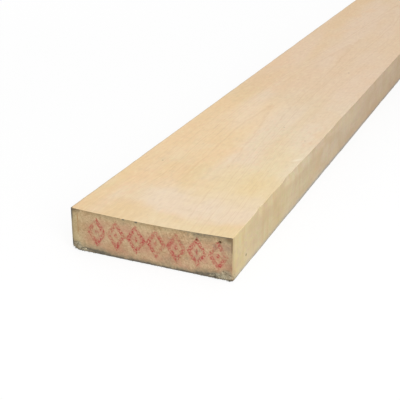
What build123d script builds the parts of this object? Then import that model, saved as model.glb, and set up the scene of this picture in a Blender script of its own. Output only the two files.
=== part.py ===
"""A sawn softwood plank, one piece of stock, with a top face that dried hollow and a knocked near end.

Millimetres. The plank lies flat, with its length along X and its near end at -X. The origin is the
middle of the underside, so the plank rests on the XY plane. Left and right are those of someone who
stands before the near end and looks along the plank, so left is +Y.
"""

import os

from build123d import *

# The sawn section and the length that it is sold in
plank_length = 2400
plank_width = 175
plank_thickness = 47

# Drying pulled the middle of the top face below its two edges
top_hollow = 2

# Handling rounds the long arrises a little, and the end cuts stay crisper
long_arris_radius = 0.9
end_arris_radius = 0.5

# The near end's lower left corner is split off: how far the break runs from the corner
left_break_across = 6.5
left_break_up = 4.5
left_break_along = 14

# The near end's lower right corner is worn away: how far the wear runs from the corner
right_wear_across = 8
right_wear_up = 2.5
right_wear_along = 3

# Two nail holes in the near end, where a tag was pinned
nail_hole_depth = 12
large_nail_diameter = 2.4
large_nail_from_right = 13
large_nail_below_top = 6.8
small_nail_diameter = 1.3
small_nail_from_right = 37.2
small_nail_below_top = 9

# The near end as its viewer sees it: x runs to the right and y runs up from the underside
near_end = Plane(origin=(-plank_length / 2, 0, 0), x_dir=(0, -1, 0), z_dir=(-1, 0, 0))
left_side = -plank_width / 2
right_side = plank_width / 2


def corner_cut(corner, along, across, up):
    """The plane that meets the three edges of a near-end corner at the given distances from it.

    The corner is a point of the near end. The plane's normal points out of the wood, so that a split
    that keeps what lies under the plane takes only the corner off.
    """
    on_long_edge = near_end.from_local_coords(corner + Vector(0, 0, -along))
    on_end_edge = near_end.from_local_coords(corner + Vector(across, 0, 0))
    on_upright_edge = near_end.from_local_coords(corner + Vector(0, up, 0))
    normal = (on_end_edge - on_long_edge).cross(on_upright_edge - on_long_edge)
    if normal.dot(near_end.from_local_coords(corner) - on_long_edge) < 0:
        normal = -normal
    return Plane(origin=on_long_edge, x_dir=on_end_edge - on_long_edge, z_dir=normal)


left_break = corner_cut(Vector(left_side, 0, 0), left_break_along, left_break_across, left_break_up)
right_wear = corner_cut(Vector(right_side, 0, 0), right_wear_along, -right_wear_across, right_wear_up)

with BuildPart() as plank:
    # The section is drawn on the near end and drawn out to the far end
    with BuildSketch(near_end) as section:
        with BuildLine():
            Polyline(
                (left_side, plank_thickness),
                (left_side, 0),
                (right_side, 0),
                (right_side, plank_thickness),
            )
            ThreePointArc(
                (right_side, plank_thickness),
                (0, plank_thickness - top_hollow),
                (left_side, plank_thickness),
            )
        make_face()
        fillet(section.vertices(), long_arris_radius)
    extrude(amount=-plank_length)

    # The two damaged corners of the near end
    split(bisect_by=left_break, keep=Keep.BOTTOM)
    split(bisect_by=right_wear, keep=Keep.BOTTOM)

    # Both end cuts, with their arrises just broken all round
    end_faces = plank.faces().sort_by(Axis.X)
    fillet(end_faces[0].outer_wire().edges() + end_faces[-1].outer_wire().edges(), end_arris_radius)

    # The nail holes go straight into the end grain
    with BuildSketch(near_end):
        with Locations((right_side - large_nail_from_right, plank_thickness - large_nail_below_top)):
            Circle(large_nail_diameter / 2)
        with Locations((right_side - small_nail_from_right, plank_thickness - small_nail_below_top)):
            Circle(small_nail_diameter / 2)
    extrude(amount=-nail_hole_depth, mode=Mode.SUBTRACT)

plank.part.label = "plank"

os.makedirs("parts", exist_ok=True)
export_step(plank.part, "parts/plank.step")
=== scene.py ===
"""Dresses the timber plank: its sawn and worn surface, its wood, and the studio that it is shown in.

It works in the part's own frame: +X along the plank from its near end, +Y to the left of someone who
looks along it, +Z up from the floor. The plank is modelled again as one fine mesh, which stands for the
plain solid and stays inside its box.

The box, the meshes, the lamps and the camera are in metres. The sizes named at the top and all places in
the materials are in millimetres, unless a comment says otherwise.
"""

import math
import random

import bmesh
import bpy
import numpy as np
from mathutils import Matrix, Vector, noise


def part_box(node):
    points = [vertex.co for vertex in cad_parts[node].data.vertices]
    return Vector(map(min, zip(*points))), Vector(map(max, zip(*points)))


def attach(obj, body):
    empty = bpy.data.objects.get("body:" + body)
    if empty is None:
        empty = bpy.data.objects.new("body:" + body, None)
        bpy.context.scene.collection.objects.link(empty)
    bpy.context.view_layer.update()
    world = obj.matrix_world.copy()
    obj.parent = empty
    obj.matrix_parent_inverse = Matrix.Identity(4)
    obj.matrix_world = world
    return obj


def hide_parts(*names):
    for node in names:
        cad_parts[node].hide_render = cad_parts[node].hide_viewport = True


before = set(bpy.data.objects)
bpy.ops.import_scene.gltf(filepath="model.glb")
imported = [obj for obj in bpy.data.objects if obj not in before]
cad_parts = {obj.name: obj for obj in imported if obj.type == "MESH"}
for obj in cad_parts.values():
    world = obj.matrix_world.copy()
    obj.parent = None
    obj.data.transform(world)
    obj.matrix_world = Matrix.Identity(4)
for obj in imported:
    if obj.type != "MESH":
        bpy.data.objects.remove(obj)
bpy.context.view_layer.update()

MM = 0.001

# The solid's box, in metres
low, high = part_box("plank")
LENGTH, WIDTH, THICKNESS = high - low
NEAR, FAR = low.x, high.x
RIGHT, LEFT = low.y, high.y
UNDER, TOP = low.z, high.z

# The shape, as in the solid
TOP_HOLLOW = 2
NAIL_HOLE_DEPTH = 12
NAIL_POINT = 3
# Each nail hole: its distance from the right side, how far it is below the top, and its width
NAIL_HOLES = ((13, 6.8, 2.4), (37.2, 9, 1.3))

# The damaged lower corners of the near end, in metres: the corner, how far the damage runs from it along,
# across and up, how rough the break is, and the seed of its fibres
DAMAGED_CORNERS = (
    (Vector((NEAR, LEFT, UNDER)), Vector((14, -6.5, 4.5)) * MM, 0.8 * MM, 11),
    (Vector((NEAR, RIGHT, UNDER)), Vector((3, 8, 2.5)) * MM, 0.6 * MM, 12),
)

# The mesh's steps along the plank: the finest by the near end, how far it goes on, the finest by the far
# end, the widest between, and how fast they grow
NEAR_STEP = 0.8
NEAR_STEP_RUN = 18
FAR_STEP = 1.5
LONG_STEP = 16
LONG_GROWTH = 1.045
# The mesh's steps across and up: the finest by each arris, the widest between, and how fast they grow
ARRIS_STEP = 0.2
FACE_STEP = 1.5
FACE_GROWTH = 1.3

# How far each arris is rounded, and what the near end's foot and upright arrises are worn beyond that
LONG_ARRIS = 0.55
ARRIS_CHIPS = 3.2
END_ARRIS = 0.4
SIDE_END_WEAR = 0.5
FOOT_WEAR = 0.8
# How far from an end or the underside its own rounding goes on
ARRIS_REACH = 12

# Small bites out of the near end's top arris: distance from the left side, half width, depth
NICKS = ((59.4, 1.8, 1.0), (73.3, 2.0, 1.1), (118, 3.0, 0.6))

# How deep the saw's waves are: the slow and the quick ones of the sides, and those of the top
SIDE_SLOW_WAVE = 0.22
SIDE_QUICK_WAVE = 0.12
TOP_WAVE = 0.10

# The top right arris has split off along the grain: where that starts, how deep it goes and how far down,
# and where it goes deeper: distance along, half length, depth
SPLIT_START = 66
SPLIT_DEPTH = 0.8
SPLIT_REACH = 14
SPLITS = (
    (75, 3.5, 1.6),
    (112, 10, 0.5),
    (164, 9, 1.7),
    (195, 30, 1.0),
    (370, 18, 0.6),
)

# The near end's cross cut: its fine fuzz, its slow waves, and the fuzz of its foot, inward and upward
END_FUZZ = 0.08
END_WAVE = 0.12
FOOT_FUZZ = 0.7
FOOT_LIFT = 0.3

# Torn patches of the near end: distance from the left side, height, half width, half height, depth
TORN_PATCHES = (
    (168, 6.0, 6.5, 5.0, 1.3),
    (158, 3.5, 8.0, 3.0, 1.3),
    (6, 7.5, 4.0, 3.2, 1.2),
    (13, 3.0, 5.0, 2.2, 1.0),
)

# How many fibres the saw and the knocks tore loose: in the foot, in each damaged corner, in each torn
# patch, and along the two lower arrises
FOOT_FIBRES = 260
CORNER_FIBRES = 60
PATCH_FIBRES = 110
ARRIS_FIBRES = 320
# Two large splinters by the lower right corner: their place along, and how far each is rooted behind it, in
# from the side and up, how far before it the tip stands, and the width
SPLINTERS_ALONG = 11.6
SPLINTERS = ((8.0, 2.4, 2.6, 2.5, 2.4), (6.0, 1.6, 1.2, 1.0, 1.5))

# The pith runs below the plank. It swings from side to side, by so many radians a millimetre, and falls by
# so many millimetres a millimetre
PITH_Y = 3
PITH_SWING = 12
PITH_SWING_START = 160
PITH_SWING_TURN = 0.0057
PITH_BELOW_TOP = 88
PITH_FALL = 0.012
# The rings lie round the pith, moved by slow drifts and quick ripples
RING_WIDTH = 1.3
RING_DRIFT = 7
RING_RIPPLE = 1.5
# Which years have dark latewood
YEAR_SEED = 33
# By the near end the rings fan out to the left: how far along that goes, how far from the left side it
# starts and is full, and how far it moves the rings
FAN_LENGTH = 120
FAN_ACROSS = (112, 66)
FAN_RISE = 8

# How far the edges of the broad tones wander along the plank
TONE_WANDER = 60

# The stain of a resin seam down the near end: its distance from the left side, and how far below the top it
# starts and ends
SEAM_FROM_LEFT = 7.7
SEAM_TOP = 6
SEAM_FOOT = 27.5

# The cross saw's arcs on the ends: the y and z of their middle, and about how wide and how long each is
CROSS_SAW_CENTRE = (-360, 185)
CROSS_SAW_STEP = 1.5
CROSS_SAW_RUN = 30

# How long along the plank the waves are that pattern the ends
END_WAVE_LENGTH = 20

# Where dirt stands highest along the near end's foot: distance from the left side, reach
DIRTY_FOOT = ((25, 22), (149, 16))

# Where torn fibres stand pale in the near end's foot: distance from the left side, height, radius
PALE_TUFTS = (
    (8.5, 4.0, 2.0),
    (15, 2.0, 2.0),
    (159.5, 4.6, 2.2),
    (164.5, 4.0, 2.8),
    (172, 4.2, 1.8),
)

# The ink mark on the near end: a row of plain lozenges between two distances from the left side. Each is an
# outline round a centre, which is a share of it, and a haze of spread ink lies about its own height
MARK_START = 18
MARK_END = 171
MARK_LOZENGES = 7
MARK_UP = 25
LOZENGE_HALF_WIDTH = 8.6
LOZENGE_HALF_HEIGHT = 12.6
LOZENGE_CENTRE = 0.28
STROKE = 4.4
HAZE_UP = 21

# Dark specks on the top face and the right side: distance along, distance from the left or height, radius
TOP_SPECKS = ((156, 27.3, 1.1), (280, 156.3, 1.0), (320, 116.7, 1.0), (591, 126.5, 1.4))
SIDE_SPECKS = ((36.6, 12.4, 1.4),)
# A pale chip by the right arris: distance along, distance from the left, half width, its width as a share
# of its length, and its lean in radians
PALE_CHIP = (214.5, 167.0, 2.2, 0.36, 0.7)


def in_metres(sizes):
    return [size * MM for size in sizes]


def graded(length, fine_start, fine_end, coarse, growth, fine_run=0.0):
    """Distances from 0 to length. Steps grow from a fine one at each end to the coarse one between."""
    def run(step, even):
        distances = [0.0]
        while step < coarse and distances[-1] < length / 2:
            distances.append(distances[-1] + step)
            if distances[-1] > even:
                step *= growth
        return distances
    start = run(fine_start, fine_run)
    end = [length - d for d in reversed(run(fine_end, 0.0))]
    between = max(1, round((end[0] - start[-1]) / coarse))
    middle = np.linspace(start[-1], end[0], between + 1)[1:-1]
    return [*start, *middle, *end]


def box_grid(xs, ys, zs):
    """The points and outward quads of a closed box whose six faces are ruled at the given places."""
    index, points, faces = {}, [], []

    def at(i, j, k):
        if (i, j, k) not in index:
            index[i, j, k] = len(points)
            points.append((xs[i], ys[j], zs[k]))
        return index[i, j, k]

    nx, ny, nz = len(xs) - 1, len(ys) - 1, len(zs) - 1

    def face(a, b, c, d, flip):
        corners = [at(*a), at(*b), at(*c), at(*d)]
        faces.append(corners[::-1] if flip else corners)

    for i in range(nx):
        for j in range(ny):
            for k, flip in ((0, True), (nz, False)):
                face((i, j, k), (i + 1, j, k), (i + 1, j + 1, k), (i, j + 1, k), flip)
        for k in range(nz):
            for j, flip in ((0, False), (ny, True)):
                face((i, j, k), (i + 1, j, k), (i + 1, j, k + 1), (i, j, k + 1), flip)
    for j in range(ny):
        for k in range(nz):
            for i, flip in ((0, True), (nx, False)):
                face((i, j, k), (i, j + 1, k), (i, j + 1, k + 1), (i, j, k + 1), flip)
    return np.array(points), faces


def fade(distance, reach):
    """1 at distance 0, falling smoothly to 0 at reach."""
    t = np.clip(1 - np.asarray(distance) / reach, 0, 1)
    return t * t * (3 - 2 * t)


def field(points, waves, seed):
    """Smooth noise from about -1 to 1 at each point, with waves of the given sizes along X, Y and Z."""
    offset = Vector((17.3, 5.1, 9.7)) * seed
    scaled = points / np.array(in_metres(waves))
    return np.array([noise.noise(Vector(p) + offset) for p in scaled])


def corner_plane(corner, run):
    """A point on the plane that cuts a near-end corner, and its normal, which points out of the wood."""
    a, b, c = corner + Vector((run.x, 0, 0)), corner + Vector((0, run.y, 0)), corner + Vector((0, 0, run.z))
    normal = (b - a).cross(c - a).normalized()
    if normal.dot(corner - a) < 0:
        normal = -normal
    return np.array(a), np.array(normal)


def arris_radius(points):
    """How far the surface is rounded where each point lies near an arris."""
    from_near, from_far = points[:, 0] - NEAR, FAR - points[:, 0]
    from_right, up = points[:, 1] - RIGHT, points[:, 2] - UNDER
    from_left = LEFT - points[:, 1]
    near = fade(from_near, ARRIS_REACH * MM)
    either_end = np.maximum(near, fade(from_far, ARRIS_REACH * MM))
    foot = fade(up, ARRIS_REACH * MM)
    uneven = 1 + 0.9 * field(points, (11, 40, 40), 1)
    radius = LONG_ARRIS * MM * uneven
    chips = field(points, (34, 300, 300), 3) - 0.22
    radius += ARRIS_CHIPS * MM * np.maximum(0, chips) * np.maximum(0.6, foot)
    radius += (END_ARRIS * MM - radius) * either_end
    radius += SIDE_END_WEAR * MM * near * fade(np.minimum(from_left, from_right), 10 * MM) * (1 - foot)
    ragged = 1 + 0.8 * field(points, (60, 3.5, 60), 2)
    radius += FOOT_WEAR * MM * ragged * fade(from_near, 6 * MM) * foot
    for place, half_width, depth in map(in_metres, NICKS):
        bite = np.exp(-(((from_left - place) / half_width) ** 2))
        radius += depth * bite * near * fade(TOP - points[:, 2], 6 * MM)
    return radius


def round_arrises(points):
    """Moves the points near each arris onto a round of that place's radius."""
    radius = arris_radius(points)[:, None]
    inner = np.clip(points, np.array(low) + radius, np.array(high) - radius)
    out = points - inner
    size = np.linalg.norm(out, axis=1, keepdims=True)
    return inner + out * np.minimum(1, radius / np.maximum(size, 1e-9))


def tear(points, plane, roughness, seed):
    """Brings what lies beyond a corner's plane back to it, with the steps that torn fibres leave."""
    origin, normal = plane
    beyond = (points - origin) @ normal
    fibres = field(points, (14, 1.3, 1.3), seed)
    back = np.maximum(0, beyond + roughness * (0.6 + fibres) * fade(-beyond, 2 * MM))
    return points - back[:, None] * normal


def saw_waves(points):
    """The slow waves of the saw's cut, which only ever go into the wood, and the hollow of the top."""
    p = points.copy()
    y_share = np.abs(p[:, 1]) / (WIDTH / 2)
    z_share = (p[:, 2] - UNDER) / THICKNESS
    side_wave = SIDE_SLOW_WAVE * MM * (1 + field(points, (60, 400, 60), 4))
    side_wave += SIDE_QUICK_WAVE * MM * (1 + field(points, (22, 400, 30), 5))
    side_wave *= 1 - 0.8 * fade(p[:, 0] - NEAR, 60 * MM)
    p[:, 1] -= np.sign(p[:, 1]) * side_wave * fade(1 - y_share, 0.3)
    top_wave = TOP_WAVE * MM * (1 + field(points, (70, 60, 400), 6))
    p[:, 2] -= top_wave * fade(1 - z_share, 0.6)
    p[:, 2] -= TOP_HOLLOW * MM * (1 - y_share**2) * np.clip(z_share, 0, 1)
    return p


def split_arris(points):
    """Draws the top right arris in to where the wood has split off it."""
    p = points.copy()
    along = p[:, 0] - NEAR
    depth = SPLIT_DEPTH * MM * fade(SPLIT_START * MM - along, 5 * MM)
    for place, half_length, deeper in map(in_metres, SPLITS):
        depth += deeper * np.exp(-(((along - place) / half_length) ** 2))
    share = fade(p[:, 1] - RIGHT, SPLIT_REACH * MM) * fade(TOP - p[:, 2], SPLIT_REACH * MM)
    p[:, 1] += depth * share
    return p


def rough_end(points):
    """The fuzzy cross cut of the near end, rougher towards its foot."""
    p = points.copy()
    near = fade(p[:, 0] - NEAR, 3 * MM)
    foot = fade(p[:, 2] - UNDER, 7 * MM)
    fuzz = 0.5 + 0.5 * field(points, (9, 1.1, 1.4), 7)
    slow = 0.5 + 0.5 * field(points, (50, 30, 12), 8)
    p[:, 0] += near * MM * (END_FUZZ * fuzz + END_WAVE * slow + FOOT_FUZZ * foot * fuzz)
    p[:, 2] += near * foot * FOOT_LIFT * MM * fuzz
    for from_left, up, half_width, half_height, depth in map(in_metres, TORN_PATCHES):
        across = (LEFT - from_left - p[:, 1]) / half_width
        height = (p[:, 2] - UNDER - up) / half_height
        p[:, 0] += near * depth * np.exp(-(across**2) - height**2) * (0.6 + 0.6 * fuzz)
    return p


def plank_mesh():
    """The plank as one closed mesh, finest at its near end."""
    along = graded(LENGTH, *in_metres((NEAR_STEP, FAR_STEP, LONG_STEP)), LONG_GROWTH, NEAR_STEP_RUN * MM)
    across_steps = in_metres((ARRIS_STEP, ARRIS_STEP, FACE_STEP))
    xs = [NEAR + d for d in along]
    ys = [RIGHT + d for d in graded(WIDTH, *across_steps, FACE_GROWTH)]
    zs = [UNDER + d for d in graded(THICKNESS, *across_steps, FACE_GROWTH)]
    points, faces = box_grid(xs, ys, zs)
    points = round_arrises(points)
    for corner, run, roughness, seed in DAMAGED_CORNERS:
        points = tear(points, corner_plane(corner, run), roughness, seed)
    points = rough_end(split_arris(saw_waves(points)))
    mesh = bpy.data.meshes.new("plank_surface")
    mesh.from_pydata(points.tolist(), [], faces)
    return mesh


def nail_drill(from_right, below_top, width):
    """A closed round pin with a point, which cuts one nail hole out of the near end. It takes metres."""
    sides = 20
    straight = (NAIL_HOLE_DEPTH - NAIL_POINT) * MM
    stops = ((-2 * MM, width / 2), (straight, width / 2), (NAIL_HOLE_DEPTH * MM, 0.1 * MM))
    drill = bmesh.new()
    rings = []
    for depth, radius in stops:
        turns = [2 * math.pi * n / sides for n in range(sides)]
        rings.append([
            drill.verts.new((
                NEAR + depth,
                RIGHT + from_right + radius * math.cos(turn),
                TOP - below_top + radius * math.sin(turn),
            ))
            for turn in turns
        ])
    for ring, following in zip(rings, rings[1:]):
        for n in range(sides):
            m = (n + 1) % sides
            drill.faces.new((ring[n], ring[m], following[m], following[n]))
    drill.faces.new(rings[0])
    drill.faces.new(rings[-1])
    bmesh.ops.recalc_face_normals(drill, faces=drill.faces)
    mesh = bpy.data.meshes.new("nail_drill")
    drill.to_mesh(mesh)
    drill.free()
    return bpy.data.objects.new("nail_drill", mesh)


def cut_away(piece, cutters):
    """Cuts each cutter out of the piece for good and deletes the cutters."""
    for cutter in cutters:
        bpy.context.collection.objects.link(cutter)
        cut = piece.modifiers.new("cut", "BOOLEAN")
        cut.operation = "DIFFERENCE"
        cut.solver = "EXACT"
        cut.object = cutter
    done = bpy.data.meshes.new_from_object(piece.evaluated_get(bpy.context.evaluated_depsgraph_get()))
    piece.modifiers.clear()
    piece.data = done
    for cutter in cutters:
        bpy.data.objects.remove(cutter)


def make_plank():
    plank = bpy.data.objects.new("sawn_plank", plank_mesh())
    bpy.context.collection.objects.link(plank)
    cut_away(plank, [nail_drill(*in_metres(hole)) for hole in NAIL_HOLES])
    plank.data.shade_smooth()
    plank.data.set_sharp_from_angle(angle=math.radians(50))
    return plank


def in_box(point):
    """The point, moved into the plank's box if it lies outside it."""
    margin = 0.02 * MM
    return Vector([min(max(p, a + margin), b - margin) for p, a, b in zip(point, low, high)])


def add_fibre(fibres, root, tip, width, sag):
    """Adds one torn fibre: a thin curved spike with a flat diamond section, thickest at its root."""
    run = tip - root
    side = run.cross(Vector((0.13, 0.07, 1))).normalized()
    lift = side.cross(run).normalized()
    rings = []
    for share, size in ((0.0, 1.0), (0.4, 0.8), (0.75, 0.45)):
        centre = root + share * run + 4 * sag * share * (1 - share) * lift
        corners = (side * width, lift * width / 2, -side * width, -lift * width / 2)
        rings.append([fibres.verts.new(in_box(centre + size / 2 * corner)) for corner in corners])
    point = fibres.verts.new(in_box(tip))
    for ring, following in zip(rings, rings[1:]):
        for n in range(4):
            m = (n + 1) % 4
            fibres.faces.new((ring[n], ring[m], following[m], following[n]))
    for n in range(4):
        fibres.faces.new((rings[-1][n], rings[-1][(n + 1) % 4], point))
    fibres.faces.new(rings[0][::-1])


def add_foot_fibres(fibres, draw):
    """Fibres that the cross saw broke out along the near end's foot."""
    for _ in range(FOOT_FIBRES):
        y = draw.uniform(RIGHT + 4 * MM, LEFT - 4 * MM)
        root = Vector((NEAR + draw.uniform(1.0, 2.5) * MM, y, UNDER + draw.uniform(0.4, 1.8) * MM))
        lean = Vector((-draw.uniform(1.2, 3.0), draw.uniform(-1.2, 1.2), draw.uniform(-1.0, 1.6))) * MM
        add_fibre(fibres, root, root + lean, draw.uniform(0.25, 0.7) * MM, draw.uniform(-0.2, 0.4) * MM)


def add_corner_fibres(fibres, draw, corner, run):
    """Fibres that stand in a damaged corner of the near end, rooted on the break."""
    for _ in range(CORNER_FIBRES):
        shares = [draw.random() + 0.05 for _ in range(3)]
        spot = Vector([distance * share for distance, share in zip(run, shares)]) / sum(shares)
        root = corner + spot * 1.08
        lean = Vector((-draw.uniform(0.6, 1.8) * MM, 0, 0)) - spot * draw.uniform(0.0, 0.25)
        add_fibre(fibres, root, root + lean, draw.uniform(0.3, 0.8) * MM, draw.uniform(-0.4, 0.4) * MM)


def add_patch_fibres(fibres, draw, from_left, up, half_width, half_height, depth):
    """Fibres that stand in a torn patch of the near end, with its sizes in metres."""
    for _ in range(PATCH_FIBRES):
        turn, reach = draw.uniform(0, 2 * math.pi), math.sqrt(draw.random())
        y = LEFT - from_left + reach * half_width * math.cos(turn)
        z = UNDER + up + reach * half_height * math.sin(turn)
        root = Vector((NEAR + depth * draw.uniform(1.0, 1.6), y, max(z, UNDER + 0.3 * MM)))
        lean = Vector((
            -depth * draw.uniform(0.6, 1.2),
            draw.uniform(-2.0, 2.0) * MM,
            draw.uniform(-3.2, 1.6) * MM,
        ))
        add_fibre(fibres, root, root + lean, draw.uniform(0.3, 0.8) * MM, draw.uniform(-0.3, 0.5) * MM)


def add_arris_fibres(fibres, draw):
    """Loose fibres along the two lower arrises, which lie nearly along the plank."""
    for _ in range(ARRIS_FIBRES):
        side, inward = draw.choice(((RIGHT, 1), (LEFT, -1)))
        x = draw.uniform(NEAR + 6 * MM, FAR - 12 * MM)
        y = side + inward * draw.uniform(0.5, 1.1) * MM
        root = Vector((x, y, UNDER + draw.uniform(0.3, 1.3) * MM))
        lean = Vector((draw.uniform(-8, 8), -inward * draw.uniform(0.5, 1.1), draw.uniform(-1.0, 0.4))) * MM
        add_fibre(fibres, root, root + lean, draw.uniform(0.3, 0.7) * MM, draw.uniform(-0.2, 0.3) * MM)


def add_splinters(fibres):
    """The two large splinters, which curl out of the worn corner to the right side."""
    at = NEAR + SPLINTERS_ALONG * MM
    for back, inward, up, ahead, width in map(in_metres, SPLINTERS):
        root = Vector((at + back, RIGHT + inward, UNDER + up))
        tip = Vector((at - ahead, RIGHT + 0.05 * MM, UNDER + 0.4 * up))
        add_fibre(fibres, root, tip, width, -0.5 * MM)


def make_torn_fibres():
    draw = random.Random(7)
    fibres = bmesh.new()
    add_foot_fibres(fibres, draw)
    for corner, run, _, _ in DAMAGED_CORNERS:
        add_corner_fibres(fibres, draw, corner, run)
    for patch in TORN_PATCHES:
        add_patch_fibres(fibres, draw, *in_metres(patch))
    add_arris_fibres(fibres, draw)
    add_splinters(fibres)
    bmesh.ops.recalc_face_normals(fibres, faces=fibres.faces)
    mesh = bpy.data.meshes.new("torn_fibres")
    fibres.to_mesh(mesh)
    fibres.free()
    piece = bpy.data.objects.new("torn_fibres", mesh)
    bpy.context.collection.objects.link(piece)
    return piece


def colour(red, green, blue):
    """A colour given as it looks on the screen, from 0 to 255, as the shader wants it."""
    def linear(value):
        share = value / 255
        return share / 12.92 if share <= 0.04045 else ((share + 0.055) / 1.055) ** 2.4
    return (linear(red), linear(green), linear(blue), 1.0)


class Graph:
    """Adds shader nodes to a material and links them, so that a pattern reads as a formula."""

    def __init__(self, name):
        self.material = bpy.data.materials.new(name)
        self.material.use_nodes = True
        self.tree = self.material.node_tree
        self.shader = self.tree.nodes["Principled BSDF"]

    def feed(self, socket, value):
        if isinstance(value, bpy.types.NodeSocket):
            self.tree.links.new(value, socket)
        else:
            socket.default_value = value

    def node(self, kind, *inputs, **settings):
        made = self.tree.nodes.new(kind)
        for name, value in settings.items():
            setattr(made, name, value)
        for socket, value in inputs:
            self.feed(made.inputs[socket], value)
        return made

    def math(self, operation, *values):
        return self.node("ShaderNodeMath", *enumerate(values), operation=operation).outputs[0]

    def add(self, *values):
        total = values[0]
        for value in values[1:]:
            total = self.math("ADD", total, value)
        return total

    def minus(self, a, b):
        return self.math("SUBTRACT", a, b)

    def off(self, value, place):
        """How far a value is from a place, on either side of it."""
        return self.math("ABSOLUTE", self.minus(value, place))

    def times(self, *values):
        product = values[0]
        for value in values[1:]:
            product = self.math("MULTIPLY", product, value)
        return product

    def most(self, *values):
        top = values[0]
        for value in values[1:]:
            top = self.math("MAXIMUM", top, value)
        return top

    def size(self, a, b):
        """The length of the line that goes a one way and b square to it."""
        return self.math("SQRT", self.add(self.times(a, a), self.times(b, b)))

    def ramp(self, value, start, end, low=0.0, high=1.0):
        """Goes smoothly from low at start to high at end."""
        sockets = ((0, value), (1, start), (2, end), (3, low), (4, high))
        return self.node("ShaderNodeMapRange", *sockets, interpolation_type="SMOOTHSTEP").outputs[0]

    def within(self, *limits):
        """1 where every limit is passed. Each is a value, where it starts to count and where it is full."""
        share = self.ramp(*limits[0])
        for limit in limits[1:]:
            share = self.times(share, self.ramp(*limit))
        return share

    def sway(self, pattern, height):
        """A pattern about 0.5, as a distance about 0 that spans the given height."""
        return self.times(self.minus(pattern, 0.5), height)

    def vector(self, x, y, z):
        return self.node("ShaderNodeCombineXYZ", (0, x), (1, y), (2, z)).outputs[0]

    def noise(self, vector, detail=2.0, rough=0.5):
        """Noise about 0.5."""
        sockets = (("Vector", vector), ("Scale", 1.0), ("Detail", detail), ("Roughness", rough))
        return self.node("ShaderNodeTexNoise", *sockets).outputs["Fac"]

    def mix(self, share, a, b):
        """The colour a, with its share of b."""
        made = self.node("ShaderNodeMix", data_type="RGBA")
        self.feed(made.inputs["Factor"], share)
        self.feed(made.inputs["A"], a)
        self.feed(made.inputs["B"], b)
        return made.outputs["Result"]

    def tint(self, base, share, tone):
        """The base colour, with its share of a tone, which is given as it looks on the screen."""
        return self.mix(share, base, colour(*tone))

    def dapple(self, base, pattern, *tints, within=1.0):
        """The base colour, tinted where a pattern runs high or low.

        Each tint is where the pattern starts it, where it is full, its share there and its tone.
        """
        for start, full, share, tone in tints:
            base = self.tint(base, self.times(within, self.ramp(pattern, start, full, 0.0, share)), tone)
        return base


class WoodGraph(Graph):
    """Shader nodes that know where on the plank each point lies, in millimetres."""

    def __init__(self, name):
        super().__init__(name)
        place = self.node("ShaderNodeTexCoord").outputs["Object"]
        metres = self.node("ShaderNodeSeparateXYZ", (0, place)).outputs
        self.x, self.y, self.z = [self.times(part, 1 / MM) for part in metres]
        self.along = self.minus(self.x, NEAR / MM)
        self.from_left = self.minus(LEFT / MM, self.y)
        self.from_right = self.minus(self.y, RIGHT / MM)
        self.up = self.minus(self.z, UNDER / MM)
        share = self.times(self.y, 2 * MM / WIDTH)
        hollow = self.times(self.minus(1.0, self.times(share, share)), TOP_HOLLOW)
        self.below_top = self.minus(self.minus(TOP / MM, hollow), self.z)
        normal = self.node("ShaderNodeNewGeometry").outputs["Normal"]
        lengthwise, sideways, _ = self.node("ShaderNodeSeparateXYZ", (0, normal)).outputs
        self.on_end = self.ramp(self.math("ABSOLUTE", lengthwise), 0.35, 0.75)
        self.on_side = self.ramp(self.math("ABSOLUTE", sideways), 0.45, 0.8)

    def waves(self, x_size, y_size, z_size, detail=2.0, rough=0.5, shift=0.0):
        """Noise about 0.5, with waves of the given sizes along X, Y and Z. A shift gives other waves."""
        x = self.add(self.times(self.x, 1 / x_size), shift)
        vector = self.vector(x, self.times(self.y, 1 / y_size), self.times(self.z, 1 / z_size))
        return self.noise(vector, detail, rough)

    def end_waves(self, y_size, z_size, **settings):
        """Noise about 0.5 for the ends, with waves of the given sizes along Y and Z."""
        return self.waves(END_WAVE_LENGTH, y_size, z_size, **settings)

    def spot(self, a, b, at_a, at_b, radius, soft=0.5):
        """1 within a round spot about the place (at_a, at_b) of the coordinates a and b, and 0 outside."""
        distance = self.size(self.minus(a, at_a), self.minus(b, at_b))
        return self.ramp(distance, radius * (1 + soft), radius * (1 - soft))


def growth_rings(g):
    """The dark latewood of each year, from 0 to 1.

    The years are rings about the pith, which winds and falls along the plank.
    """
    drift = g.sway(g.waves(420, 180, 180, detail=1), RING_DRIFT)
    ripple = g.sway(g.waves(42, 14, 14), RING_RIPPLE)
    turn = g.times(g.minus(g.along, PITH_SWING_START), PITH_SWING_TURN)
    swing = g.times(g.math("SINE", turn), PITH_SWING)
    down = g.minus(g.minus(TOP / MM - PITH_BELOW_TOP, g.z), g.times(g.along, PITH_FALL))
    radius = g.size(down, g.minus(g.y, g.add(swing, PITH_Y)))
    fan = g.within((g.along, FAN_LENGTH, 0.2 * FAN_LENGTH), (g.from_left, *FAN_ACROSS))
    rings = g.times(g.add(radius, drift, ripple, g.times(fan, -FAN_RISE)), 1 / RING_WIDTH)
    season = g.math("FRACT", rings)
    latewood = g.within((season, 0.45, 0.9), (season, 1.0, 0.94))
    number = g.add(g.math("FLOOR", rings), YEAR_SEED)
    year = g.node("ShaderNodeTexWhiteNoise", ("W", number), noise_dimensions="1D")
    return g.times(latewood, g.ramp(year.outputs["Value"], 0.5, 0.95, 0.2, 1.0))


def cross_saw_arcs(g):
    """The arcs that the cross saw left on the ends, as a pattern about 0.5."""
    centre_y, centre_z = CROSS_SAW_CENTRE
    radius = g.size(g.minus(g.y, centre_y), g.minus(g.z, centre_z))
    return g.noise(g.vector(g.times(radius, 1 / CROSS_SAW_STEP), g.times(g.y, 1 / CROSS_SAW_RUN), 0.0))


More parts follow.
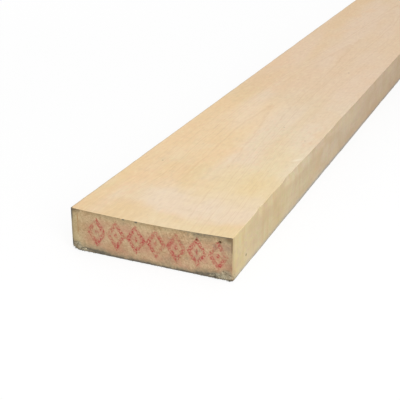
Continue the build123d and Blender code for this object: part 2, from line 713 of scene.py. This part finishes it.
def broad_tones(g, face):
    """The broad tones of the long faces: orange, pale, cream, golden, greyer and redder stretches.

    Each tone has its limits along the plank and from the left side, its share and its colour.
    """
    wavy = g.add(g.along, g.sway(g.waves(60, 34, 34, shift=13.1), TONE_WANDER))
    tones = (
        (((g.along, 60, 200), (g.from_left, 60, 4)), 0.35, (233, 201, 157)),
        (((wavy, 22, 45), (wavy, 118, 84), (g.from_left, 20, 70)), 0.75, (234, 214, 190)),
        (((wavy, 34, 16), (g.from_left, 20, 50)), 0.6, (232, 208, 162)),
        (((wavy, 84, 104), (wavy, 190, 130), (g.from_left, 50, 90)), 0.4, (232, 208, 162)),
        (((g.along, 260, 380), (g.from_left, 40, 75)), 0.5, (230, 209, 182)),
        (((wavy, 55, 85), (wavy, 200, 130), (g.from_left, 85, 120)), 0.4, (235, 213, 162)),
        (((wavy, 140, 180), (wavy, 280, 235), (g.from_left, 122, 150)), 0.4, (236, 225, 194)),
        (((wavy, 140, 190), (wavy, 450, 370), (g.from_left, 106, 78)), 0.32, (249, 215, 174)),
        (((wavy, 52, 32), (g.from_left, 88, 62)), 0.35, (230, 194, 150)),
        (((wavy, 75, 95), (wavy, 165, 140), (g.from_left, 78, 55)), 0.35, (240, 202, 151)),
        (((g.along, 380, 520),), 0.3, (232, 195, 171)),
    )
    for limits, share, tone in tones:
        face = g.tint(face, g.times(g.within(*limits), share), tone)
    return face


def long_face_colour(g, latewood, fine, streak, saw):
    """The long faces: pale cream to orange, with faint rings, fibres, mottling and saw marks."""
    ground = g.waves(260, 50, 50, detail=1)
    face = g.mix(g.ramp(ground, 0.38, 0.62), colour(234, 213, 186), colour(230, 204, 160))
    hue = g.waves(56, 30, 30, detail=1, shift=3.7)
    face = g.dapple(face, hue, (0.5, 0.68, 0.48, (235, 201, 158)), (0.46, 0.3, 0.48, (231, 214, 182)))
    fleck = g.waves(9, 5, 5, detail=3, shift=8.1)
    face = g.dapple(face, fleck, (0.52, 0.7, 0.36, (238, 200, 168)), (0.46, 0.3, 0.4, (226, 213, 172)))
    face = broad_tones(g, face)
    face = g.tint(face, g.times(latewood, 0.28), (208, 170, 126))
    face = g.dapple(face, streak, (0.5, 0.8, 0.1, (214, 182, 140)))
    face = g.dapple(face, fine, (0.52, 0.75, 0.18, (205, 180, 146)), (0.46, 0.25, 0.18, (244, 223, 189)))
    mottle = g.waves(10, 3.6, 3.6, shift=11.3)
    face = g.dapple(face, mottle, (0.5, 0.74, 0.24, (210, 184, 152)), (0.5, 0.26, 0.26, (244, 225, 190)))
    return g.dapple(face, saw, (0.5, 0.75, 0.12, (206, 180, 136)))


def end_colour(g, latewood, arcs):
    """The end grain, which drinks up dirt and so is darker, with the arcs of the cross saw."""
    blotch = g.waves(30, 22, 14, detail=3, shift=5.3)
    end = g.mix(g.ramp(blotch, 0.35, 0.65), colour(224, 200, 156), colour(210, 178, 134))
    end = g.tint(end, g.times(latewood, 0.42), (170, 130, 86))
    speckle = g.end_waves(0.8, 1.3, detail=3, rough=0.7)
    end = g.dapple(end, speckle, (0.52, 0.74, 0.5, (150, 124, 90)), (0.46, 0.28, 0.45, (240, 218, 182)))
    end = g.dapple(end, arcs, (0.5, 0.7, 0.2, (158, 136, 98)), (0.45, 0.3, 0.15, (238, 222, 184)))
    grit = g.end_waves(2.4, 1.7, detail=3, rough=0.7, shift=14.2)
    grits = ((0.52, 0.68, 0.44, (146, 118, 80)), (0.48, 0.32, 0.47, (242, 220, 176)))
    return g.dapple(end, grit, *grits, within=g.ramp(g.from_left, 50, 150, 1.0, 1.5))


def height_in_dirt(g, ragged, raggedness, lift):
    """The height above the floor, made ragged, and lower where dirt stands high."""
    high_dirt = 0.0
    for from_left, reach in DIRTY_FOOT:
        high_dirt = g.most(high_dirt, g.ramp(g.off(g.from_left, from_left), reach, 0.4 * reach))
    return g.add(g.up, g.sway(ragged, -raggedness), g.times(high_dirt, -lift))


def grey_grime(g, ragged):
    """Where the near end is grey with dirt, from 0 to 1: its edges, its foot and a few smudges."""
    left_edge = g.times(g.ramp(g.from_left, 6, 2), 0.28)
    height = height_in_dirt(g, ragged, 10, 3)
    foot = g.times(g.ramp(height, 8.5, 1.5), g.ramp(ragged, 0.25, 0.6, 0.6, 0.9))
    right_top = g.spot(g.from_right, g.times(g.below_top, 0.6), 2, 0, 12, soft=0.6)
    right_top = g.times(right_top, g.ramp(ragged, 0.3, 0.65, 0.35, 1.0), 0.85)
    left_top = g.spot(g.times(g.from_left, 0.6), g.below_top, 0, 1, 6, soft=0.6)
    left_top = g.times(left_top, g.ramp(ragged, 0.35, 0.65, 0.3, 1.0), 0.4)
    cloud = g.end_waves(16, 12, detail=4, rough=0.6, shift=6.4)
    smudge = g.times(g.ramp(cloud, 0.5, 0.72), g.ramp(g.from_right, 130, 30, 0.25, 0.75))
    rim = g.within((g.from_right, 50, 36), (g.below_top, 12, 2), (ragged, 0.3, 0.6))
    return g.most(left_edge, foot, right_top, left_top, smudge, g.times(rim, 0.75))


def dark_shade_and_dirt(g, ragged):
    """Where the near end is darkest, from 0 to 1: its outer edges, its corners, its top rim and two nicks."""
    # The dark lines along the left edge and the foot are painted shade of the rounded arrises, mixed with
    # dirt
    left_ends = g.most(g.ramp(g.below_top, 16, 9), g.ramp(g.up, 15, 9))
    left_line = g.times(g.ramp(g.from_left, 2.8, 1.4), g.ramp(left_ends, 0.0, 1.0, 0.35, 1.0))
    top_line = g.times(g.ramp(g.below_top, 1.6, 0.3), g.ramp(g.from_right, 75, 45, 0.2, 0.8))
    height = height_in_dirt(g, ragged, 5, 2.5)
    shaded_foot_line = g.times(g.ramp(height, 3.6, 1.3, 0.0, 0.92), g.ramp(g.from_right, 13, 19, 0.5, 1.0))
    top_left = g.spot(g.from_left, g.times(g.below_top, 0.8), 0, 0, 2.5, soft=0.6)
    foot_left = g.spot(g.from_left, g.up, 1.5, 5, 5)
    rim_spots = g.end_waves(2.6, 1.6, rough=0.6, shift=16.9)
    rim = g.within((g.from_right, 53, 47), (g.from_right, 22, 32), (g.below_top, 6.5, 2))
    rim = g.times(rim, g.ramp(rim_spots, 0.5, 0.62), 0.75)
    lines = g.most(left_line, top_line, shaded_foot_line)
    dark = g.most(lines, g.times(top_left, 0.9), g.times(foot_left, 0.7), rim)
    for place, half_width, _ in NICKS[:2]:
        nick = g.spot(g.from_left, g.below_top, place, 0.4, half_width * 0.75)
        dark = g.most(dark, g.times(nick, 1.3))
    return g.times(dark, g.ramp(ragged, 0.25, 0.6, 0.5, 1.0))


def pale_tufts(g):
    """Where torn fibres stand pale in the near end's foot, from 0 to 1."""
    strands = g.waves(8, 1.6, 1.1, rough=0.6, shift=18.3)
    pale = 0.0
    for from_left, up, radius in PALE_TUFTS:
        pale = g.most(pale, g.spot(g.from_left, g.times(g.up, 1.2), from_left, 1.2 * up, radius, soft=0.6))
    return g.times(pale, g.ramp(strands, 0.36, 0.56, 0.15, 1.0))


def torn_patches(g):
    """The torn patches of the near end, and the painted shade between their fibres, each from 0 to 1."""
    fibre_gap_shade = g.waves(6, 1.8, 1.4, rough=0.6, shift=15.7)
    torn = 0.0
    for from_left, up, half_width, half_height, _ in TORN_PATCHES:
        across = g.times(g.minus(g.from_left, from_left), half_height / half_width)
        torn = g.most(torn, g.spot(across, g.up, 0, up, half_height, soft=0.4))
    return torn, g.times(torn, g.ramp(fibre_gap_shade, 0.54, 0.66))


def ink_mark(g):
    """How much red ink and how much pink haze lies on the near end, each from 0 to 1."""
    pitch = (MARK_END - MARK_START) / MARK_LOZENGES
    step = g.times(g.minus(g.from_left, MARK_START), 1 / pitch)
    across_share = g.times(g.off(g.math("FRACT", step), 0.5), pitch / LOZENGE_HALF_WIDTH)
    height_share = g.times(g.off(g.up, MARK_UP), 1 / LOZENGE_HALF_HEIGHT)
    reach = g.add(across_share, height_share)
    to_line = LOZENGE_HALF_WIDTH * LOZENGE_HALF_HEIGHT / math.hypot(LOZENGE_HALF_WIDTH, LOZENGE_HALF_HEIGHT)
    outline = g.ramp(g.times(g.off(reach, 1.0), to_line), STROKE * 0.62, STROKE * 0.3)
    centre = g.ramp(reach, LOZENGE_CENTRE + 0.1, LOZENGE_CENTRE - 0.1)
    in_row = g.within((step, -0.01, 0.01), (step, MARK_LOZENGES + 0.01, MARK_LOZENGES - 0.01))
    about_row = g.within((step, -0.5, 0.4), (step, MARK_LOZENGES + 0.7, MARK_LOZENGES))
    grains = g.end_waves(1.9, 1.9, detail=3, rough=0.65, shift=1.9)
    worn = g.end_waves(14, 9, shift=4.6)
    hold = g.times(g.ramp(grains, 0.38, 0.58), g.ramp(worn, 0.3, 0.6, 0.45, 1.0))
    ink = g.times(g.most(outline, centre), in_row, hold)
    haze = g.ramp(g.off(g.up, HAZE_UP), LOZENGE_HALF_HEIGHT + 12, LOZENGE_HALF_HEIGHT - 2)
    return ink, g.times(haze, g.ramp(worn, 0.35, 0.7, 0.4, 1.0), about_row)


def ink_and_seam(g, near):
    """The ink mark with its haze, and the stain of the resin seam."""
    haze_waves = g.end_waves(10, 8, detail=4, rough=0.6, shift=9.2)
    ink, haze = ink_mark(g)
    near = g.tint(near, g.times(haze, g.ramp(haze_waves, 0.3, 0.7, 0.3, 0.72)), (208, 142, 122))
    near = g.tint(near, g.times(ink, 0.9), (192, 74, 72))
    seam = g.within(
        (g.off(g.from_left, SEAM_FROM_LEFT), 0.9, 0.3),
        (g.below_top, SEAM_TOP - 2, SEAM_TOP),
        (g.below_top, SEAM_FOOT, SEAM_FOOT - 4),
    )
    return g.tint(near, g.times(seam, g.ramp(haze_waves, 0.3, 0.6, 0.4, 1.0), 0.6), (186, 130, 80))


def tan_edges(g, near, ragged):
    """Tan along the top of the near end and down its right edge."""
    top = g.within((g.below_top, 6.5, 0.5), (g.from_left, 10, 20))
    near = g.tint(near, g.times(top, g.ramp(ragged, 0.3, 0.6, 0.6, 1.0), 0.42), (146, 122, 84))
    right = g.within((g.from_right, 11, 2), (g.up, 6, 12), (g.up, 29, 21))
    return g.tint(near, g.times(right, 0.36), (142, 112, 86))


def brown_corners(g, near, ragged):
    """Brown about the near end's top right corner, and in streaks about its top left corner."""
    right = g.spot(g.from_right, g.times(g.below_top, 0.9), 2.5, 0.5, 4.5)
    right = g.most(right, g.within((g.from_right, 2.6, 0.8), (g.below_top, 24, 10)))
    near = g.tint(near, g.times(right, g.ramp(ragged, 0.3, 0.6, 0.6, 0.95)), (136, 113, 82))
    streaks = g.end_waves(7, 1.0, detail=3, shift=12.2)
    left = g.ramp(g.size(g.times(g.from_left, 0.5), g.times(g.below_top, 1.2)), 7.5, 2)
    return g.tint(near, g.times(left, g.ramp(streaks, 0.36, 0.6, 0.35, 1.0)), (126, 107, 78))


def near_end_colour(g, end):
    """The near end's own marks over its grain: a resin seam, ink, dirt, painted shade, torn patches and pale
    tufts.
    """
    ragged = g.end_waves(6, 5, detail=5, rough=0.65, shift=2.2)
    torn, fibre_gap_shade = torn_patches(g)
    near = g.tint(end, g.times(g.ramp(g.from_left, 10, 5), 0.4), (196, 176, 128))
    near = ink_and_seam(g, near)
    near = tan_edges(g, near, ragged)
    near = g.tint(near, g.times(grey_grime(g, ragged), 0.8), (152, 140, 116))
    near = brown_corners(g, near, ragged)
    near = g.tint(near, g.times(torn, 0.7), (186, 176, 150))
    # Painted shade mixed with dirt, darkest along the near end's left edge and foot
    near = g.tint(near, g.times(dark_shade_and_dirt(g, ragged), 0.9), (104, 100, 90))
    # Painted shade between the torn fibres
    near = g.tint(near, g.times(fibre_gap_shade, 0.8), (92, 80, 60))
    return g.tint(near, g.times(pale_tufts(g), 0.85), (206, 196, 168))


def nail_stains(g, wood):
    """The dark rust in and round the two nail holes."""
    for from_right, below_top, width in NAIL_HOLES:
        height = g.times(g.minus(TOP / MM - below_top, g.z), 1.3)
        stain = g.spot(g.from_right, height, from_right, 0, 0.5 * width + 0.5)
        in_reach = g.ramp(g.along, 2 * NAIL_HOLE_DEPTH, 1.5 * NAIL_HOLE_DEPTH)
        wood = g.tint(wood, g.times(stain, in_reach), (120, 74, 34))
    return wood


def side_tones(g, face):
    """The sides: upright stripes, patches and tints, and on the right one yellow towards the near end."""
    on_right = g.times(g.on_side, g.ramp(g.from_right, 20, 10))
    face = g.tint(face, g.times(on_right, g.ramp(g.along, 260, 60), 0.6), (234, 213, 166))
    face = g.tint(face, g.times(on_right, g.ramp(g.along, 70, 30), 0.4), (245, 224, 160))
    stripes = g.waves(7, 60, 60, detail=3, rough=0.65, shift=4.4)
    tints = ((0.5, 0.68, 1.0, (222, 186, 138)), (0.48, 0.32, 1.0, (234, 222, 184)))
    face = g.dapple(face, stripes, *tints, within=g.times(g.on_side, g.ramp(g.along, 120, 300, 0.4, 0.2)))
    patches = g.waves(10, 7, 7, detail=3, rough=0.6, shift=6.6)
    dots = g.waves(4, 3.5, 3.5, shift=10.4)
    broad = g.waves(48, 22, 22, shift=2.9)
    layers = (
        (patches, (0.53, 0.68, 0.5, (228, 200, 172)), (0.46, 0.32, 0.45, (222, 206, 152))),
        (dots, (0.5, 0.66, 0.35, (230, 196, 168)), (0.48, 0.34, 0.35, (216, 206, 150))),
        (broad, (0.5, 0.64, 0.4, (220, 192, 152)), (0.48, 0.36, 0.4, (240, 220, 182))),
    )
    for pattern, *tints in layers:
        face = g.dapple(face, pattern, *tints, within=g.on_side)
    return g.tint(face, g.times(on_right, g.ramp(g.along, 6, 0.5), 0.6), (196, 172, 132))


def left_arris_shade_and_corner_dirt(g, face):
    """A grey line of painted shade along the top left arris, and dirt on the near end's top left corner."""
    # Painted shade along the top left arris
    edge_shade = g.within((g.from_left, 2.2, 0.9), (g.below_top, 3, 1))
    face = g.tint(face, g.times(edge_shade, 0.5), (170, 160, 138))
    corner = g.spot(g.along, g.from_left, 0, 0, 2.2, soft=0.6)
    return g.tint(face, g.times(corner, g.ramp(g.below_top, 3, 1), 0.9), (116, 108, 90))


def foot_dirt_and_shade(g, face):
    """The foot of both sides: grey dirt, a dark line, tan farther on, and torn wood by the worn corner."""
    right_side = g.ramp(g.from_right, 2.5, 1.0)
    either_side = g.most(right_side, g.ramp(g.from_left, 2.5, 1.0))
    fuzz = g.waves(9, 3, 3, detail=3, shift=7.3)
    height = g.add(g.up, g.sway(fuzz, -8))
    dirt = g.times(either_side, g.ramp(height, 6.5, 0.8), g.ramp(g.along, 80, 400, 0.42, 0.9))
    face = g.tint(face, dirt, (188, 189, 184))
    # The dark line along the very foot is painted shade mixed with dirt
    shaded_foot_line = g.times(either_side, g.ramp(g.up, 1.6, 0.6), g.ramp(fuzz, 0.35, 0.55, 0.2, 0.8))
    face = g.tint(face, shaded_foot_line, (126, 123, 118))
    torn = g.times(right_side, g.spot(g.along, g.times(g.up, 0.8), 0, 1, 7, soft=0.6))
    speckles = g.waves(3, 3, 2, detail=3, rough=0.7, shift=1.6)
    tints = ((0.45, 0.6, 0.7, (140, 124, 96)), (0.42, 0.3, 0.5, (232, 222, 194)))
    face = g.dapple(face, speckles, *tints, within=torn)
    tan = g.times(either_side, g.within((height, 24, 6), (g.along, 200, 560)), 0.3)
    return g.tint(face, tan, (214, 176, 136))


def specks(g, face):
    """The dark specks of the top face and the right side."""
    for along, from_left, radius in TOP_SPECKS:
        speck = g.spot(g.along, g.from_left, along, from_left, radius)
        face = g.tint(face, g.times(speck, g.ramp(g.below_top, 3, 2), 0.5), (112, 96, 60))
    for along, up, radius in SIDE_SPECKS:
        speck = g.spot(g.along, g.up, along, up, radius)
        face = g.tint(face, g.times(speck, g.ramp(g.from_right, 3, 2), 0.8), (134, 114, 52))
    return face


def pale_chip(g, face):
    """The pale chip, an oval that leans across the arris."""
    along, from_left, half_width, width_share, lean = PALE_CHIP
    off_along, off_left = g.minus(g.along, along), g.minus(g.from_left, from_left)
    lengthwise = g.add(g.times(off_along, math.cos(lean)), g.times(off_left, math.sin(lean)))
    sideways = g.minus(g.times(off_left, math.cos(lean)), g.times(off_along, math.sin(lean)))
    chip = g.spot(g.times(lengthwise, width_share), sideways, 0, 0, half_width, soft=0.8)
    return g.tint(face, g.times(chip, 0.45), (252, 240, 218))


def shows_end_grain(g):
    """1 on the ends, and where the near end rounds over into the underside and the left side."""
    into_underside = g.within((g.along, 6, 3), (g.up, 5, 2))
    into_left = g.within((g.along, 5, 2.5), (g.from_left, 3, 1.5), (g.below_top, 1, 2.5))
    return g.most(g.on_end, into_underside, into_left)


def finish_wood(g, tone, roughness, height, depth, strength):
    """Gives the material its colour, roughness and low sheen, and the relief of a height pattern."""
    bump = g.node("ShaderNodeBump", ("Height", height), ("Distance", depth * MM), ("Strength", strength))
    g.feed(g.shader.inputs["Base Color"], tone)
    g.feed(g.shader.inputs["Roughness"], roughness)
    g.feed(g.shader.inputs["Normal"], bump.outputs["Normal"])
    g.shader.inputs["Specular IOR Level"].default_value = 0.25


def wood_material():
    """Sawn softwood: growth rings and fibres through its whole depth, with what lies on its faces."""
    g = WoodGraph("sawn_softwood")
    latewood = growth_rings(g)
    fine = g.waves(14, 1.2, 1.2, detail=3, rough=0.6)
    streak = g.waves(250, 8, 8, detail=3)
    saw = g.waves(5.5, 90, 90, rough=0.6)
    arcs = cross_saw_arcs(g)

    face = long_face_colour(g, latewood, fine, streak, saw)
    for marks in (side_tones, left_arris_shade_and_corner_dirt, foot_dirt_and_shade, specks, pale_chip):
        face = marks(g, face)
    end = end_colour(g, latewood, arcs)
    end = g.mix(g.ramp(g.along, 40, 20), end, near_end_colour(g, end))
    wood = nail_stains(g, g.mix(shows_end_grain(g), face, end))

    # Relief: raised latewood, fibres, the marks of the band saw on the faces and of the cross saw on the ends
    faces = g.add(g.times(fine, 0.16), g.times(streak, 0.06), g.times(saw, 0.10), g.times(latewood, 0.05))
    fuzz = g.waves(8, 0.9, 0.9, detail=3, rough=0.7, shift=3.1)
    ends = g.add(g.times(arcs, 0.4), g.times(fuzz, 0.32), g.times(latewood, 0.12))
    height = g.add(g.times(faces, g.minus(1.0, g.on_end)), g.times(ends, g.on_end))
    finish_wood(g, wood, g.ramp(fine, 0.2, 0.8, 0.74, 0.9), height, 1.0, 0.6)
    return g.material


def fibre_material():
    """Torn wood fibres: pale fresh ones among others grey with dirt, and painted shade and dirt near the
    floor.
    """
    g = WoodGraph("torn_softwood")
    tuft = g.waves(9, 4.6, 2.4, shift=2.7)
    strand = g.waves(30, 0.5, 0.5)
    fibre = g.mix(g.ramp(tuft, 0.4, 0.56), colour(122, 114, 94), colour(220, 210, 182))
    fibre = g.dapple(fibre, strand, (0.4, 0.7, 0.3, (176, 156, 122)))
    # Darker near the floor: painted shade mixed with dirt in the fuzz of the foot
    fibre = g.tint(fibre, g.ramp(g.up, 2.6, 1.0, 0.0, 0.8), (116, 108, 92))
    fibre = g.tint(fibre, g.times(pale_tufts(g), 0.9), (224, 214, 186))
    fibre = g.tint(fibre, g.ramp(g.along, 16, 30), (186, 164, 130))
    finish_wood(g, fibre, g.ramp(strand, 0.3, 0.7, 0.78, 0.92), strand, 0.2, 0.5)
    return g.material


def dress(piece, material):
    piece.data.materials.clear()
    piece.data.materials.append(material)
    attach(piece, "root")
    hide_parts("plank")


# The light, and how the floor shows and throws it back
SKY_STRENGTH = 0.58
SUN_STRENGTH = 0.5
KEY_POWER = 17.0
FILL_POWER = 8.0
FLOOR_BOUNCE = 0.3
FLOOR_GLOW = 0.85
# The floor's reach each way, and the gap that keeps it clear of the plank, in metres
FLOOR_REACH = 40.0
FLOOR_GAP = 0.05 * MM

# The camera stands before the near end, to its right, and looks down along the plank
CAMERA_BEFORE_END = 0.7036
CAMERA_TO_RIGHT = 0.3609
CAMERA_HEIGHT = 0.4197
CAMERA_TURN = 23.566
CAMERA_TILT = 23.877
IMAGE_WIDTH = 400
FOCAL_PIXELS = 905.1
SENSOR_WIDTH = 36.0


def make_camera():
    camera = bpy.data.objects.new("camera", bpy.data.cameras.new("camera"))
    camera.data.sensor_width = SENSOR_WIDTH
    camera.data.lens = FOCAL_PIXELS / IMAGE_WIDTH * SENSOR_WIDTH
    camera.data.clip_start = 0.05
    camera.location = (NEAR - CAMERA_BEFORE_END, -CAMERA_TO_RIGHT, UNDER + CAMERA_HEIGHT)
    camera.rotation_euler = (math.radians(90 - CAMERA_TILT), 0, math.radians(CAMERA_TURN - 90))
    bpy.context.collection.objects.link(camera)
    bpy.context.scene.camera = camera


def add_lamp(kind, name, place, target, energy, **settings):
    data = bpy.data.lights.new(name, kind)
    data.energy = energy
    for key, value in settings.items():
        setattr(data, key, value)
    lamp = bpy.data.objects.new(name, data)
    lamp.location = place
    lamp.rotation_euler = (Vector(target) - Vector(place)).to_track_quat("-Z", "Y").to_euler()
    bpy.context.collection.objects.link(lamp)


def make_floor():
    """A floor that is white to the camera and keeps a faint shadow, and throws little light upwards."""
    ways = ((-1, -1), (1, -1), (1, 1), (-1, 1))
    corners = [(x * FLOOR_REACH, y * FLOOR_REACH, UNDER - FLOOR_GAP) for x, y in ways]
    mesh = bpy.data.meshes.new("floor")
    mesh.from_pydata(corners, [], [(0, 1, 2, 3)])
    floor = bpy.data.objects.new("floor", mesh)
    bpy.context.collection.objects.link(floor)

    g = Graph("floor_white")
    path = g.node("ShaderNodeLightPath").outputs
    seen = g.most(path["Is Camera Ray"], path["Is Glossy Ray"], path["Is Transmission Ray"])
    bounce = g.node("ShaderNodeBsdfDiffuse", ("Color", (FLOOR_BOUNCE, FLOOR_BOUNCE, FLOOR_BOUNCE, 1)))
    white = g.node("ShaderNodeBsdfDiffuse", ("Color", (1, 1, 1, 1)))
    glow = g.node("ShaderNodeEmission", ("Color", (1, 1, 1, 1)), ("Strength", 1.0))
    shown = g.node("ShaderNodeMixShader", (0, FLOOR_GLOW), (1, white.outputs[0]), (2, glow.outputs[0]))
    both = g.node("ShaderNodeMixShader", (0, seen), (1, bounce.outputs[0]), (2, shown.outputs[0]))
    g.tree.nodes.remove(g.shader)
    g.tree.links.new(both.outputs[0], g.tree.nodes["Material Output"].inputs["Surface"])
    mesh.materials.append(g.material)


def make_sky():
    """An even sky that lights the plank. The camera sees it as white."""
    world = bpy.data.worlds.new("sky")
    world.use_nodes = True
    bpy.context.scene.world = world
    nodes, links = world.node_tree.nodes, world.node_tree.links
    path = nodes.new("ShaderNodeLightPath").outputs
    sky, background = nodes["Background"], nodes.new("ShaderNodeBackground")
    for shader, strength in ((sky, SKY_STRENGTH), (background, 1.0)):
        shader.inputs["Strength"].default_value = strength
        shader.inputs["Color"].default_value = (1, 1, 1, 1)
    mixed = nodes.new("ShaderNodeMixShader")
    links.new(path["Is Camera Ray"], mixed.inputs[0])
    links.new(sky.outputs[0], mixed.inputs[1])
    links.new(background.outputs[0], mixed.inputs[2])
    links.new(mixed.outputs[0], nodes["World Output"].inputs["Surface"])


def make_lamps():
    """A large soft lamp before the right side, a weaker one behind the left, and a soft sun above."""
    near_middle = (NEAR + 0.3, 0.0, TOP)
    middle = (0.0, 0.0, TOP)
    add_lamp("AREA", "key", (NEAR - 1.0, -1.05, 0.85), near_middle, KEY_POWER, shape="DISK", size=1.2)
    add_lamp("AREA", "fill", (0.6, 1.6, 1.0), middle, FILL_POWER, shape="DISK", size=1.6)
    add_lamp("SUN", "sun", (0, 0, 3), (0.0, 0.3, 0), SUN_STRENGTH, angle=math.radians(60))


make_floor()
make_sky()
make_lamps()
bpy.context.scene.view_settings.view_transform = "Standard"
make_camera()
dress(make_plank(), wood_material())
dress(make_torn_fibres(), fibre_material())
